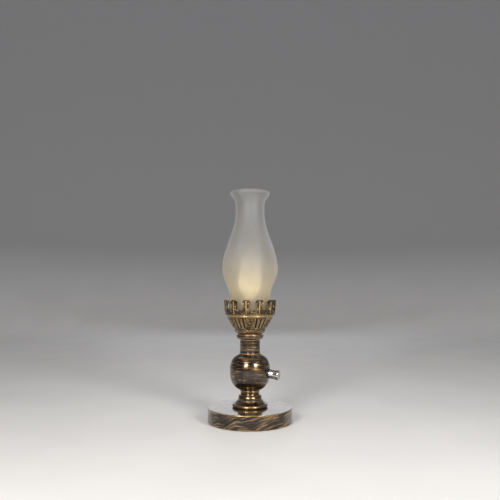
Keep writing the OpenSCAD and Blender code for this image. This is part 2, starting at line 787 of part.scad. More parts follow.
module dimmer_housing() {
    color("#22211f") along_dimmer(housing_back) difference() {
        cylinder(d = dimmer_d, h = dimmer_depth);
        translate([0, 0, -eps])
            cylinder(r = dimmer_d / 2 - housing_t, h = dimmer_depth - housing_t);
        cylinder(r = shaft_d / 2 + 0.6, h = dimmer_depth + eps);
    }
}

module dimmer_cover() {
    color("#3b3835") along_dimmer(housing_back) difference() {
        cylinder(r = dimmer_d / 2 - housing_t - fit, h = 1.2);
        for (side = [-1, 1]) translate([0, side * lead_side, -eps])
            cylinder(r = lead_r + 0.1, h = 1.2 + 2 * eps);
    }
}

module dimmer_board() {
    color("#2f6b46") along_dimmer(board_at) {
        cylinder(r = dimmer_d / 2 - housing_t - 0.2, h = 1.2);
        translate([-5.5, 1, 1.1]) cube([4, 4.4, 3.4]);
        translate([3, -3, 1.1]) cylinder(r = 2, h = 3.6);
        translate([1.5, 3.4, 1.1]) cube([3.6, 1.8, 1.6]);
    }
}

module dimmer_bushing() {
    color("#c4a866") along_dimmer(housing_front) difference() {
        union() {
            cylinder(r = shoulder_r, h = 1.6);
            cylinder(r = bushing_r, h = bushing_end - housing_front);
        }
        translate([0, 0, -eps])
            cylinder(r = shaft_d / 2 + fit, h = bushing_end - housing_front + 2 * eps);
    }
}

module dimmer_saddle() {
    color("#181716") difference() {
        along_dimmer(wall_at - 3) cylinder(r = saddle_r, h = saddle_face - wall_at + 3);
        ball_solid(-fit);
        along_dimmer(0) cylinder(r = bushing_r + fit, h = saddle_face + 1);
    }
}

module dimmer_nut() {
    color("#b9bcc0") along_dimmer(saddle_face) difference() {
        cylinder(r = dimmer_nut_af / 2 / cos(30), h = dimmer_nut_t, $fn = 6);
        translate([0, 0, -eps]) cylinder(r = bushing_r + fit, h = dimmer_nut_t + 2 * eps);
    }
}

module shaft_solid(r) {
    difference() {
        cylinder(r = r, h = shaft_end - wiper_at);
        translate([-r - 1, r - flat_depth, bushing_end - wiper_at + 1])
            cube([2 * r + 2, 2, knob_h]);
    }
}

module dimmer_shaft() {
    color("#b9bcc0") along_dimmer(wiper_at) shaft_solid(shaft_d / 2);
}

module dimmer_wiper() {
    color("#b98d4a") along_dimmer(wiper_at) difference() {
        union() {
            cylinder(r = 5, h = 1.2);
            translate([-1.2, 0, 0]) cube([2.4, 6.6, 0.8]);
        }
        translate([0, 0, -eps]) cylinder(r = shaft_d / 2 + fit, h = 1.2 + 2 * eps);
    }
}

module dimmer_knob() {
    tip_edge = 1.1;
    color("#d5d8dc") along_dimmer(knob_root) difference() {
        rotate_extrude() polygon(concat(
            [[0, 0], [knob_root_r - 0.3, 0], [knob_root_r, 0.3]],
            [for (i = [1 : 12]) let (t = i / 12)
                [knob_root_r - (knob_root_r - knob_waist_r) * sin(180 * t)
                 + (knob_r - knob_root_r) * pow(t, 2.5), 0.3 + (knob_h - 2.4) * t]],
            arc([knob_r - tip_edge, knob_h - tip_edge], tip_edge, 20, 90, 6),
            [[knob_r - 2.4, knob_h - 0.3], [0, knob_h - 0.3]]));
        translate([0, 0, -eps]) cylinder(r = knob_well_r, h = bushing_end + 0.5 - knob_root);
        translate([0, 0, wiper_at - knob_root]) shaft_solid(shaft_d / 2 + fit);
        translate([0, 0, shaft_end - knob_root - eps]) cylinder(r = shaft_d / 2, h = 0.4);
        translate([0, 0, knob_screw_at - knob_root]) rotate([-90, 0, 0])
            cylinder(r = 1.25 + fit, h = knob_d);
    }
}

module knob_screw() {
    color("#2a2a2c") along_dimmer(knob_screw_at) rotate([-90, 0, 0]) difference() {
        translate([0, 0, shaft_d / 2 - flat_depth + fit])
            cylinder(r = 1.25, h = knob_waist_r - 0.5 - shaft_d / 2 + flat_depth);
        translate([0, 0, knob_waist_r - 1.4]) cylinder(r = 0.7, h = 2, $fn = 6);
    }
}

// ---- Leads ----

// A lead that runs straight between its points, with a round bend at each of them
module lead(points) {
    for (i = [0 : len(points) - 2]) {
        run = points[i + 1] - points[i];
        translate(points[i]) rotate([0, acos(run[2] / norm(run)), atan2(run[1], run[0])])
            cylinder(r = lead_r, h = norm(run), $fn = 24);
    }
    for (i = [1 : len(points) - 2]) translate(points[i]) sphere(r = bend_r, $fn = 24);
}

lead_low = rod_bottom - 2.2;
lead_high = rod_top + 1.2;
block_front = block_y - block_l / 2;

function lead_in(side, u, v) = [
    [side * block_way_x, block_front + 1.5, block_way_z],
    [side * block_way_x, block_front - 3, block_way_z],
    [side * block_way_x, block_front - 8, lead_low],
    turned(u, v, lead_low)];

// The last two points of a lead to the dimmer: where it turns out of the rod, and the board
function to_dimmer(v) = [for (u = [1, (board_at - fit) * cos(dimmer_droop)])
    turned(u, v, dimmer_z - u * tan(dimmer_droop))];

module lead_neutral() {
    color("#3f6fb0") lead(concat(lead_in(-1, -1.6, 0), [
        turned(-1.6, 0, lead_high),
        turned(-terminal_x, 0, lead_high),
        turned(-terminal_x, 0, core_z - terminal_h)]));
}

module lead_supply() {
    color("#8a4a2b") lead(concat(lead_in(1, 1, lead_side), to_dimmer(lead_side)));
}

module lead_switched() {
    ends = to_dimmer(-lead_side);
    color("#1f1f1f") lead([
        ends[1],
        ends[0],
        turned(1, -lead_side, lead_high),
        turned(terminal_x, 0, lead_high),
        turned(terminal_x, 0, core_z - terminal_h)]);
}

felt_pad();
bottom_plate();
bottom_screws();
base_weight();
base_shell();
cord_bush();
terminal_block();
terminal_screws();
block_screw();
threaded_rod();
rod_nuts();
rod_washers();
bell_foot();
spacer_ring();
ball_shell();
neck_cup();
collar_ring();
gallery_cup();
gallery_crown();
chimney();
holder_base();
holder_core();
holder_terminals();
holder_barrel();
holder_screw_shell();
holder_contact();
bulb_glass();
bulb_cap();
bulb_insulator();
bulb_contact();
bulb_stem();
bulb_filament();
dimmer_housing();
dimmer_cover();
dimmer_board();
dimmer_bushing();
dimmer_saddle();
dimmer_nut();
dimmer_wiper();
dimmer_shaft();
dimmer_knob();
knob_screw();
lead_neutral();
lead_supply();
lead_switched();
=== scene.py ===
"""Visual model of an electric lamp in the style of an oil lamp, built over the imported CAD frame.

Shapes are worked out in millimetres from the frame's own boxes; the mesh makers turn them into metres.
"""

import json
import math

import bmesh
import bpy
from mathutils import Matrix, Vector


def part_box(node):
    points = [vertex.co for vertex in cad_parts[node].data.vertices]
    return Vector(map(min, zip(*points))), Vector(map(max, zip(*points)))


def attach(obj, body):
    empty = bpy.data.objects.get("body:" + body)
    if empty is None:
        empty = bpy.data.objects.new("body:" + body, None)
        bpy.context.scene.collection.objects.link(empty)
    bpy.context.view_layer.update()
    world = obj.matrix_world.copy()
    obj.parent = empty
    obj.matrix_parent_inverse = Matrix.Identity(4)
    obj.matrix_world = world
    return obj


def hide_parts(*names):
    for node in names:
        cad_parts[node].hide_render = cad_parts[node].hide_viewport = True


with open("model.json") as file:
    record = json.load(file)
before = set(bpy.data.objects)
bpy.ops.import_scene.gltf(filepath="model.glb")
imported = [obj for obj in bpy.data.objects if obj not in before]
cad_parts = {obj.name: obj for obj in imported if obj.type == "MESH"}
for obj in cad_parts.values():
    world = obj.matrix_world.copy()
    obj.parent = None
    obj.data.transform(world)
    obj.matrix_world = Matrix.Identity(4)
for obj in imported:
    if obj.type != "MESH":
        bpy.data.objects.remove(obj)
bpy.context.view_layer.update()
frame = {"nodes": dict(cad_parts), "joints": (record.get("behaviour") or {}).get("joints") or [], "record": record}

MM = 0.001
STEPS = 180  # steps round a turned piece
PITCH = 1.4  # longest run between two points of an outline


# ---- Sizes taken from the frame ----

def bottom(node):
    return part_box(node)[0].z / MM


def top(node):
    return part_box(node)[1].z / MM


def reach(node):
    """Radius of a turned piece, from its side on -X, which no hole or knob touches."""
    return -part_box(node)[0].x / MM


SHEET = 1.2  # thickness of the pressed and spun shells
CAST = 2.2  # thickness of the gallery castings
GLASS = 2.2  # thickness of the chimney
FITTER = 31.3  # radius of the chimney's foot
ROD_HOLE = 5.2  # radius of the hole for the rod in each piece of the stack
BALL_HOLE = 9.6  # radius of the holes in the ball's ends
BUSH_FLANGE = 1.4  # how far the inlet bush's flange stands out from its body
CROWN_LEAN = 1.8  # how far the crown's top stands out past its foot
CROWN_WALL = 1.8
PRONGS = 12
FIRST_PRONG = math.radians(-98.5)  # direction of the first prong
ROSETTES = 6
SLOTS_BETWEEN = 3  # slots between two rosettes

base_r = reach("base_shell")
base_top = top("base_shell")
foot_r = reach("bell_foot")
foot_top = top("bell_foot")
ball_r = reach("ball_shell")
ball_bottom = bottom("ball_shell")
ball_top = top("ball_shell")
ball_mid = (ball_bottom + ball_top) / 2
spacer_r = reach("spacer_ring") - 0.3
neck_r = reach("neck_cup") - 0.7
collar_r = reach("collar_ring")
collar_top = top("collar_ring")
cup_top = top("gallery_cup")
crown_top = top("gallery_crown")
crown_top_r = reach("gallery_crown")
crown_foot_r = crown_top_r - CROWN_LEAN
chimney_low = bottom("chimney")
chimney_high = top("chimney")
cup_foot_r = collar_r - 2.5
cup_r = crown_foot_r - 2.2
flute_bottom = collar_top + 8.8
flute_bottom_r = cup_foot_r + 6
flute_top = cup_top - 2.4
flute_top_r = cup_r - 0.8

bush_low, bush_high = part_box("cord_bush")
bush_mid_z = (bush_low.z + bush_high.z) / 2
bush_r = (bush_high.x - bush_low.x) / 2 / MM - BUSH_FLANGE

dial = next(joint for joint in frame["joints"] if joint["name"] == "dimmer_turn")
dial_axis = Vector(dial["axis"]).normalized()
dial_point = Vector(dial["pos_m"])
# The point where the dimmer's axis crosses the lamp's
dial_centre = dial_point - dial_axis * (dial_point.x / dial_axis.x)


# ---- Outlines ----

def arc(centre, radius, start, end, steps):
    """Points (r, z) on an arc, angles in degrees."""
    points = []
    for i in range(steps + 1):
        angle = math.radians(start + (end - start) * i / steps)
        points.append((centre[0] + radius * math.cos(angle), centre[1] + radius * math.sin(angle)))
    return points


def ease(share):
    return (1 - math.cos(math.pi * share)) / 2


def smooth(value, low, high):
    """0 below low, 1 above high and an easy slope between them."""
    share = min(1.0, max(0.0, (value - low) / (high - low)))
    return share * share * (3 - 2 * share)


def filled(outline, closed, pitch=PITCH):
    """The outline with points added wherever two are more than pitch apart."""
    points = []
    pairs = list(zip(outline, outline[1:] + outline[:1]))
    if not closed:
        pairs = pairs[:-1]
    for (r1, z1), (r2, z2) in pairs:
        count = max(1, math.ceil(math.hypot(r2 - r1, z2 - z1) / pitch))
        points += [(r1 + (r2 - r1) * i / count, z1 + (z2 - z1) * i / count) for i in range(count)]
    return points if closed else points + [outline[-1]]


def edge_wear(outline, closed):
    """How sharply the outline bends at each point: up to 1 on outer edges, down to -1 in corners."""
    count = len(outline)
    wear = []
    for i in range(count):
        if not closed and i in (0, count - 1):
            wear.append(0.0)
            continue
        before, here, after = (Vector(outline[(i + k) % count]) for k in (-1, 0, 1))
        come, go = here - before, after - here
        bend = math.atan2(come.x * go.y - come.y * go.x, come.dot(go))
        wear.append(max(-1.0, min(1.0, bend / max(0.3, (come.length + go.length) / 2))))
    return wear


# ---- Meshes ----

def turned_mesh(name, outline, steps=STEPS, relief=None, place=None, pitch=PITCH):
    """An outline of (r, z) points turned about Z, drawn up the outside and down the inside.

    relief(angle, r, z) gives an outward push and a change of wear for each point.
    """
    closed = outline[0][0] > 0
    points = filled(outline, closed, pitch)
    wear = edge_wear(points, closed)
    vertices, worn = [], []
    for i in range(steps):
        angle = 2 * math.pi * i / steps
        for (r, z), edge in zip(points, wear):
            push, change = relief(angle, r, z) if relief else (0.0, 0.0)
            vertices.append(((r + push) * math.cos(angle), (r + push) * math.sin(angle), z))
            worn.append(edge + change)
    count = len(points)
    last = count if closed else count - 1
    faces = []
    for i in range(steps):
        here, there = i * count, (i + 1) % steps * count
        for j in range(last):
            k = (j + 1) % count
            faces.append((here + j, there + j, there + k, here + k))
    return made_mesh(name, vertices, faces, worn, place)


def made_mesh(name, vertices, faces, worn, place=None):
    """A mesh in metres with its wear as an attribute; points that fall together are joined."""
    mesh = bpy.data.meshes.new(name)
    mesh.from_pydata([Vector(v) * MM for v in vertices], [], faces)
    wear = mesh.attributes.new("wear", "FLOAT", "POINT")
    wear.data.foreach_set("value", worn)
    work = bmesh.new()
    work.from_mesh(mesh)
    bmesh.ops.remove_doubles(work, verts=work.verts, dist=0.001 * MM)
    if place:
        bmesh.ops.transform(work, matrix=place, verts=work.verts)
    work.to_mesh(mesh)
    work.free()
    return mesh


def add_piece(mesh, body, node, slot, finish=None):
    """Puts a mesh in the scene in place of a CAD node, in its slot's finish or one of its own."""
    mesh.shade_smooth()
    mesh.set_sharp_from_angle(angle=math.radians(32))
    piece = bpy.data.objects.new(node + "_form", mesh)
    bpy.context.scene.collection.objects.link(piece)
    mesh.materials.append(finish or finishes[slot])
    normals = piece.modifiers.new("even_shading", "WEIGHTED_NORMAL")
    normals.keep_sharp = True
    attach(piece, body)
    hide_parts(node)
    return piece


def bored(mesh, place, radius, length):
    """The mesh with a round hole that starts at the place and runs along its Z, sizes in mm."""
    outline = [(0, 0), (radius, 0), (radius, length), (0, length)]
    cutter_mesh = turned_mesh("cutter", outline, steps=48, place=place)
    cutter = bpy.data.objects.new("cutter", cutter_mesh)
    work = bpy.data.objects.new("work", mesh)
    for item in (cutter, work):
        bpy.context.scene.collection.objects.link(item)
    cut = work.modifiers.new("bore", "BOOLEAN")
    cut.operation = "DIFFERENCE"
    cut.object = cutter
    cut.solver = "EXACT"
    graph = bpy.context.evaluated_depsgraph_get()
    result = bpy.data.meshes.new_from_object(work.evaluated_get(graph))
    for item in (cutter, work):
        bpy.data.objects.remove(item)
    return result


def facing(point, direction):
    """A placement in metres whose Z runs along the direction."""
    turn = Vector(direction).to_track_quat("Z", "Y").to_matrix().to_4x4()
    return Matrix.Translation(point) @ turn


# ---- Materials ----

class Finish:
    """A node material whose patterns follow the lamp's own coordinates."""

    def __init__(self, name):
        self.material = bpy.data.materials.new(name)
        self.material.use_nodes = True
        self.tree = self.material.node_tree
        self.tree.nodes.clear()
        self.place = self.node("ShaderNodeTexCoord").outputs["Object"]

    def node(self, kind, inputs=None, **settings):
        made = self.tree.nodes.new(kind)
        for key, value in settings.items():
            setattr(made, key, value)
        for key, value in (inputs or {}).items():
            if isinstance(value, bpy.types.NodeSocket):
                self.tree.links.new(value, made.inputs[key])
            else:
                made.inputs[key].default_value = value
        return made

    def noise(self, size, stretch=(1, 1, 1), detail=3.0, roughness=0.55, offset=0.0):
        """Noise with features about size mm across, drawn out by the stretch along X, Y and Z."""
        scale = [1 / (size * MM * s) for s in stretch]
        mapped = self.node("ShaderNodeMapping", {"Vector": self.place, "Scale": scale,
                                                 "Location": (offset, offset, offset)})
        return self.node("ShaderNodeTexNoise", {"Vector": mapped.outputs["Vector"], "Scale": 1.0,
                                                "Detail": detail, "Roughness": roughness}).outputs[0]

    def strokes(self, thick, length, tilt=0.0, sway=0.0):
        """Noise like brush strokes round the lamp, in mm; they climb by tilt along X and wave by sway."""
        split = self.node("ShaderNodeSeparateXYZ", {"Vector": self.place})
        wave = self.math("MULTIPLY", self.math("SUBTRACT", self.noise(30, detail=1), 0.5), sway * MM)
        lift = self.math("ADD", split.outputs["Z"], self.math("MULTIPLY", split.outputs["X"], tilt))
        lift = self.math("ADD", lift, wave)
        mapped = self.node("ShaderNodeCombineXYZ", {
            "X": self.math("DIVIDE", split.outputs["X"], length * MM),
            "Y": self.math("DIVIDE", split.outputs["Y"], length * MM),
            "Z": self.math("DIVIDE", lift, thick * MM)})
        return self.node("ShaderNodeTexNoise", {"Vector": mapped.outputs[0], "Scale": 1.0,
                                                "Detail": 3.0, "Roughness": 0.5}).outputs[0]

    def level(self, value, low, high, to_low=0.0, to_high=1.0):
        return self.node("ShaderNodeMapRange", {"Value": value, "From Min": low, "From Max": high,
                                                "To Min": to_low, "To Max": to_high}).outputs[0]

    def math(self, operation, first, second, clamp=False):
        return self.node("ShaderNodeMath", {0: first, 1: second}, operation=operation,
                         use_clamp=clamp).outputs[0]

    def mix(self, share, first, second):
        return self.node("ShaderNodeMix", {0: share, 6: first, 7: second}, data_type="RGBA").outputs[2]

    def wear(self):
        return self.node("ShaderNodeAttribute", attribute_name="wear").outputs["Fac"]

    def height(self):
        """Height above the table in mm."""
        split = self.node("ShaderNodeSeparateXYZ", {"Vector": self.place})
        return self.math("DIVIDE", split.outputs["Z"], MM)

    def bump(self, height, depth, strength=1.0, under=None):
        """Normals for a pattern whose full height is depth mm."""
        inputs = {"Height": height, "Distance": depth * MM, "Strength": strength}
        if under:
            inputs["Normal"] = under
        return self.node("ShaderNodeBump", inputs).outputs[0]

    def principled(self, inputs):
        return self.node("ShaderNodeBsdfPrincipled", inputs).outputs[0]

    def done(self, shader):
        self.node("ShaderNodeOutputMaterial", {"Surface": shader})
        return self.material


def colour(red, green, blue):
    """A display colour, 0 to 255, as the linear colour that shaders use."""
    def linear(value):
        share = value / 255
        return share / 12.92 if share <= 0.04045 else ((share + 0.055) / 1.055) ** 2.4

    return (linear(red), linear(green), linear(blue), 1.0)


def aged_metal(name, deep, body, gold, stroke, patch=11, gloss=0.2, coat=1.0, painted_reflection_above=None):
    """Lacquered metal: dark in its corners, with gold brushed over it in strokes and along its edges.

    stroke holds the thickness, length, tilt and sway of the brush strokes, and patch is the size of
    the patches where they are dense or sparse. Above the height painted_reflection_above the strokes fade
    and the lacquer is painted paler: a painted reflection of the bright surroundings on the top face.
    """
    look = Finish(name)
    cloud = look.noise(16, detail=3)
    grain = look.noise(0.4, stretch=(30, 30, 1), detail=4, roughness=0.65)
    brush = look.strokes(*stroke)
    pits = look.noise(0.35, detail=2)
    tone = look.math("ADD", look.level(cloud, 0.35, 0.7, 0.0, 0.6), look.level(grain, 0.4, 0.7, 0.0, 0.5))
    base = look.mix(tone, deep, body)
    rubbed = look.math("MULTIPLY", look.level(brush, 0.5, 0.64), look.level(grain, 0.36, 0.52, 0.5, 1.0))
    density = look.level(look.noise(patch, detail=2, offset=2.0), 0.38, 0.6, 0.08, 1.0)
    rubbed = look.math("MULTIPLY", rubbed, density)
    if painted_reflection_above:
        # Painted reflection: the top face is painted paler and its strokes thinned, standing in for the bright
        # surroundings it mirrors
        painted_reflection_share = look.level(look.height(), painted_reflection_above - 0.3, painted_reflection_above)
        base = look.mix(look.math("MULTIPLY", painted_reflection_share, 0.8), base, colour(116, 102, 86))
        rubbed = look.math("MULTIPLY", rubbed, look.level(painted_reflection_share, 0.0, 1.0, 1.0, 0.25))
    wear = look.wear()
    edge = look.math("MULTIPLY", look.level(wear, 0.12, 0.75), look.level(brush, 0.36, 0.5, 0.5, 1.0))
    base = look.mix(look.math("MAXIMUM", rubbed, edge, clamp=True), base, gold)
    base = look.mix(look.level(wear, -0.08, -0.45, 0.0, 0.92), base, deep)
    rough = look.math("ADD", look.level(cloud, 0.3, 0.7, gloss, gloss + 0.12),
                      look.level(pits, 0.3, 0.7, 0.0, 0.08))
    normal = look.bump(brush, 0.12, 0.5)
    normal = look.bump(grain, 0.03, 0.5, under=normal)
    normal = look.bump(pits, 0.02, 0.35, under=normal)
    return look.done(look.principled({
        "Base Color": base, "Metallic": 0.92, "Roughness": rough, "Normal": normal,
        "Coat Weight": coat, "Coat Roughness": 0.07}))


def metal(name, tint, roughness, grain_size=0.6, stretch=(1, 1, 1), depth=0.015):
    """Bare metal with a fine grain and faint stains."""
    look = Finish(name)
    cloud = look.noise(7, detail=3)
    grain = look.noise(grain_size, stretch=stretch, detail=3)
    dull = [part * 0.62 for part in tint[:3]] + [1.0]
    base = look.mix(look.level(cloud, 0.35, 0.7, 0.0, 0.8), tint, dull)
    rough = look.math("ADD", look.level(grain, 0.3, 0.7, roughness * 0.75, roughness * 1.2),
                      look.level(cloud, 0.4, 0.75, 0.0, 0.08))
    return look.done(look.principled({
        "Base Color": base, "Metallic": 1.0, "Roughness": rough,
        "Normal": look.bump(grain, depth, 0.6)}))


def moulded(name, tint, roughness, grain_size=0.5, depth=0.02, coat=0.0):
    """Plastic, ceramic or rubber with a fine moulded grain and light handling marks."""
    look = Finish(name)
    cloud = look.noise(9, detail=3)
    grain = look.noise(grain_size, detail=2)
    pale = [min(1.0, part * 1.25 + 0.006) for part in tint[:3]] + [1.0]
    base = look.mix(look.level(cloud, 0.35, 0.7), tint, pale)
    rough = look.level(look.noise(3, offset=5.0), 0.3, 0.7, roughness * 0.8, roughness * 1.2)
    return look.done(look.principled({
        "Base Color": base, "Roughness": rough, "Normal": look.bump(grain, depth, 0.6),
        "Coat Weight": coat, "Coat Roughness": 0.15}))


def felt():
    look = Finish("felt")
    fibre = look.noise(0.35, stretch=(3, 3, 1), detail=4, roughness=0.75)
    cloud = look.noise(5)
    base = look.mix(look.level(cloud, 0.3, 0.7), colour(38, 34, 32), colour(58, 52, 48))
    base = look.mix(look.level(fibre, 0.55, 0.75, 0.0, 0.5), base, colour(92, 84, 78))
    return look.done(look.principled({
        "Base Color": base, "Roughness": 0.95, "Normal": look.bump(fibre, 0.25),
        "Sheen Weight": 0.4, "Sheen Roughness": 0.5}))


def frosted_glass():
    """Etched glass: light from the bulb spreads in it, and its skin keeps a soft gloss."""
    look = Finish("frosted_glass")
    etch = look.noise(0.28, detail=2)
    cloud = look.noise(24, stretch=(1, 1, 3), detail=2)
    streak = look.noise(2.2, stretch=(1, 1, 30), detail=3)
    # The lower glass round the bulb is tinted warm, fading to grey towards the top: a painted warm glow, added to
    # the real light of the bulb
    rise = look.level(look.height(), chimney_low, chimney_low + 95)
    tint = look.mix(rise, colour(196, 184, 160), colour(190, 190, 190))
    tint = look.mix(look.level(cloud, 0.35, 0.7, 0.0, 0.3), tint, colour(160, 155, 146))
    tint = look.mix(look.level(streak, 0.5, 0.7, 0.0, 0.35), tint, colour(192, 191, 188))
    normal = look.bump(etch, 0.02, 0.35)
    skin = look.principled({
        "Base Color": tint, "Normal": normal,
        "Roughness": look.level(streak, 0.35, 0.65, 0.5, 0.66),
        "Coat Weight": 0.4, "Coat Roughness": 0.32})
    through = look.node("ShaderNodeBsdfTranslucent", {"Color": tint, "Normal": normal}).outputs[0]
    clear = look.node("ShaderNodeBsdfRefraction", {"Color": tint, "Roughness": 0.4, "IOR": 1.1}).outputs[0]
    soft = look.node("ShaderNodeMixShader", {0: 0.5, 1: through, 2: clear}).outputs[0]
    grazing = look.node("ShaderNodeLayerWeight", {"Blend": 0.35}).outputs["Facing"]
    share = look.level(grazing, 0.25, 0.9, 0.68, 0.02)
    return look.done(look.node("ShaderNodeMixShader", {0: share, 1: skin, 2: soft}).outputs[0])


def lit_opal():
    """The bulb's opal glass while it glows, dimmer and warmer away from its middle."""
    look = Finish("bulb_opal")
    bright = bottom("bulb_glass") + 24
    away = look.math("ABSOLUTE", look.math("SUBTRACT", look.height(), bright), 0.0)
    warmth = look.mix(look.level(away, 5, 50), (0.96, 0.92, 0.68, 1.0), (1.0, 0.78, 0.5, 1.0))
    glow = look.level(away, 4, 40, 7.6, 1.5)
    speck = look.noise(0.4, detail=2)
    return look.done(look.principled({
        "Base Color": colour(240, 234, 220), "Roughness": 0.35, "Normal": look.bump(speck, 0.01, 0.4),
        "Emission Color": warmth, "Emission Strength": glow}))


def clear_glass():
    look = Finish("bulb_clear_glass")
    seed = look.noise(1.5, detail=2)
    return look.done(look.principled({
        "Base Color": colour(232, 240, 238), "Roughness": 0.06, "IOR": 1.5,
        "Transmission Weight": 0.85, "Normal": look.bump(seed, 0.03, 0.4)}))


def chrome():
    look = Finish("chrome")
    cloud = look.noise(6, detail=3)
    scratch = look.noise(0.25, stretch=(14, 14, 1), detail=3)
    base = look.mix(look.level(cloud, 0.35, 0.7, 0.0, 0.5), colour(206, 205, 206), colour(160, 158, 160))
    rough = look.math("ADD", look.level(cloud, 0.3, 0.7, 0.05, 0.11),
                      look.level(scratch, 0.5, 0.8, 0.0, 0.12))
    return look.done(look.principled({
        "Base Color": base, "Metallic": 1.0, "Roughness": rough,
        "Normal": look.bump(scratch, 0.004, 0.5)}))


old_gold = colour(216, 174, 114)
base_lacquer = aged_metal("base_lacquer", colour(11, 8, 6), colour(38, 29, 23), old_gold,
                          stroke=(1.5, 42, -0.34, 20), patch=18, painted_reflection_above=base_top)
# A darker copy of the cup's antique brass for the crown: painted shade, for the crown standing dark against the
# glowing chimney
crown_brass_painted_shade = aged_metal("crown_brass_painted_shade", colour(12, 8, 5), colour(72, 54, 33), colour(214, 178, 118),
                         stroke=(0.8, 3, 0.3, 4), patch=6, gloss=0.2, coat=0.6)
finishes = {
    "felt": felt(),
    "zinc_steel": metal("zinc_steel", colour(176, 178, 180), 0.35),
    "cast_weight": moulded("cast_weight", colour(52, 50, 49), 0.75, grain_size=1.2, depth=0.2),
    "bronze_lacquer": aged_metal("bronze_lacquer", colour(20, 14, 10), colour(78, 60, 44), old_gold,
                                 stroke=(1.2, 22, 0.03, 5)),
    "antique_brass": aged_metal("antique_brass", colour(22, 14, 8), colour(112, 88, 56),
                                colour(226, 190, 132), stroke=(0.8, 3, 0.3, 4), patch=6, gloss=0.22,
                                coat=0.5),
    "frosted_glass": frosted_glass(),
    "black_plastic": moulded("black_plastic", colour(26, 25, 25), 0.36, coat=0.2),
    "pale_plastic": moulded("pale_plastic", colour(208, 204, 194), 0.42),
    "steatite": moulded("steatite", colour(226, 220, 206), 0.5, grain_size=0.8, depth=0.05, coat=0.3),
    "brass": metal("brass", colour(206, 174, 104), 0.28),
    "steel_shaft": metal("steel_shaft", colour(190, 190, 192), 0.22, stretch=(6, 6, 1)),
    "grub_screw": metal("grub_screw", colour(62, 62, 66), 0.4),
    "chrome": chrome(),
    "circuit_board": moulded("circuit_board", colour(40, 92, 60), 0.4, coat=0.4),
    "bulb_opal": lit_opal(),
    "bulb_metal": metal("bulb_metal", colour(196, 198, 200), 0.24, stretch=(8, 8, 1)),
    "bulb_black_glass": moulded("bulb_black_glass", colour(24, 22, 30), 0.12, coat=0.6),
    "bulb_clear_glass": clear_glass(),
    "filament_wire": metal("filament_wire", colour(150, 148, 146), 0.35),
    "lead_blue": moulded("lead_blue", colour(46, 92, 158), 0.4, coat=0.2),
    "lead_brown": moulded("lead_brown", colour(110, 64, 38), 0.4, coat=0.2),
    "lead_black": moulded("lead_black", colour(28, 28, 30), 0.4, coat=0.2),
}


# ---- Base, foot and stem ----

def place_turned(node, slot, outline, **options):
    add_piece(turned_mesh(node + "_form", outline, **options), "lamp", node, slot)


def build_felt_pad():
    r, low, high = reach("felt_pad"), bottom("felt_pad"), top("felt_pad")
    place_turned("felt_pad", "felt", [
        (0, low), (r - 0.5, low), (r, low + 0.5), (r, high - 0.4), (r - 0.4, high), (0, high)])


def build_base_shell():
    low = bottom("base_shell")
    inner = base_r - SHEET
    outline = [(ROD_HOLE, base_top), (ROD_HOLE, base_top - SHEET), (inner - 0.8, base_top - SHEET),
               (inner, base_top - SHEET - 0.8), (inner, low)]
    outline += arc((base_r - 0.5, low + 0.5), 0.5, -90, 0, 4)
    outline += arc((base_r - 0.8, base_top - 0.8), 0.8, 0, 90, 6)
    mesh = turned_mesh("base_shell_form", outline, steps=240)
    hole = facing(Vector((0, base_r * MM * 0.8, bush_mid_z)), (0, 1, 0))
    mesh = bored(mesh, hole, bush_r + 0.05, base_r * 0.3)
    add_piece(mesh, "lamp", "base_shell", "bronze_lacquer", base_lacquer)


def build_cord_bush():
    length = (bush_high.y - bush_low.y) / MM
    flange = bush_r + BUSH_FLANGE
    way = bush_r - 1.7
    outline = [(way, 0), (bush_r + 0.4, 0)] + arc((bush_r + 0.3, 0.5), 0.3, -60, 60, 4)
    outline += [(bush_r, 2.6), (bush_r, length - 1.6), (flange, length - 1.5)]
    outline += arc((flange - 0.6, length - 0.6), 0.6, 0, 90, 5)
    outline += arc((way + 0.8, length - 0.8), 0.8, 90, 180, 5)
    place = facing(Vector((0, bush_low.y, bush_mid_z)), (0, 1, 0))
    mesh = turned_mesh("cord_bush_form", outline, steps=72, place=place, pitch=0.8)
    add_piece(mesh, "lamp", "cord_bush", "black_plastic")


def build_bell_foot():
    """A thin round edge, a hollow flare with two turned lines, and a full shoulder under the spacer."""
    edge = 2.6
    shoulder_low = foot_top - 7.2
    shoulder_r = spacer_r + 3.2
    flare_r = foot_r - 1.6
    flare_low = base_top + 2 * edge - 0.3
    outline = [(ROD_HOLE, foot_top), (ROD_HOLE, foot_top - 2.4), (spacer_r - 4, foot_top - 2.4),
               (spacer_r - 2.6, shoulder_low), (foot_r - 5, base_top + edge), (foot_r - 3.4, base_top)]
    outline += arc((foot_r - edge, base_top + edge), edge, -90, 68, 16)
    for i in range(1, 12):
        share = i / 12
        outline.append((flare_r + (shoulder_r + 0.9 - flare_r) * share,
                        flare_low + (shoulder_low - 1.3 - flare_low) * share
                        - 0.5 * math.sin(math.pi * share)))
    outline += arc((shoulder_r + 0.6, shoulder_low - 0.9), 0.5, -40, 110, 6)
    for i in range(12, -1, -1):
        turn = math.pi / 2 * i / 12
        outline.append((spacer_r - 0.2 + (shoulder_r - spacer_r + 0.2) * math.sin(turn),
                        shoulder_low + (foot_top - shoulder_low) * math.cos(turn)))
    place_turned("bell_foot", "bronze_lacquer", outline, pitch=0.8)


def build_spacer_ring():
    low, high = bottom("spacer_ring"), ball_bottom
    tall = high - low
    r = spacer_r
    outline = [(ROD_HOLE, high + SHEET), (ROD_HOLE, low), (r - 0.6, low)]
    outline += arc((r + 1.2, low + tall * 0.36), 1.8, 215, 150, 10)
    outline += [(r - 0.5, low + tall * 0.62)]
    outline += arc((r - 0.55, low + tall * 0.74), 0.8, -60, 75, 10)
    outline += arc((r + 0.1, high - 0.2), 0.2, -30, 90, 3)
    outline += [(BALL_HOLE - 0.05, high), (BALL_HOLE - 0.05, high + SHEET)]
    place_turned("spacer_ring", "bronze_lacquer", outline, pitch=0.8)


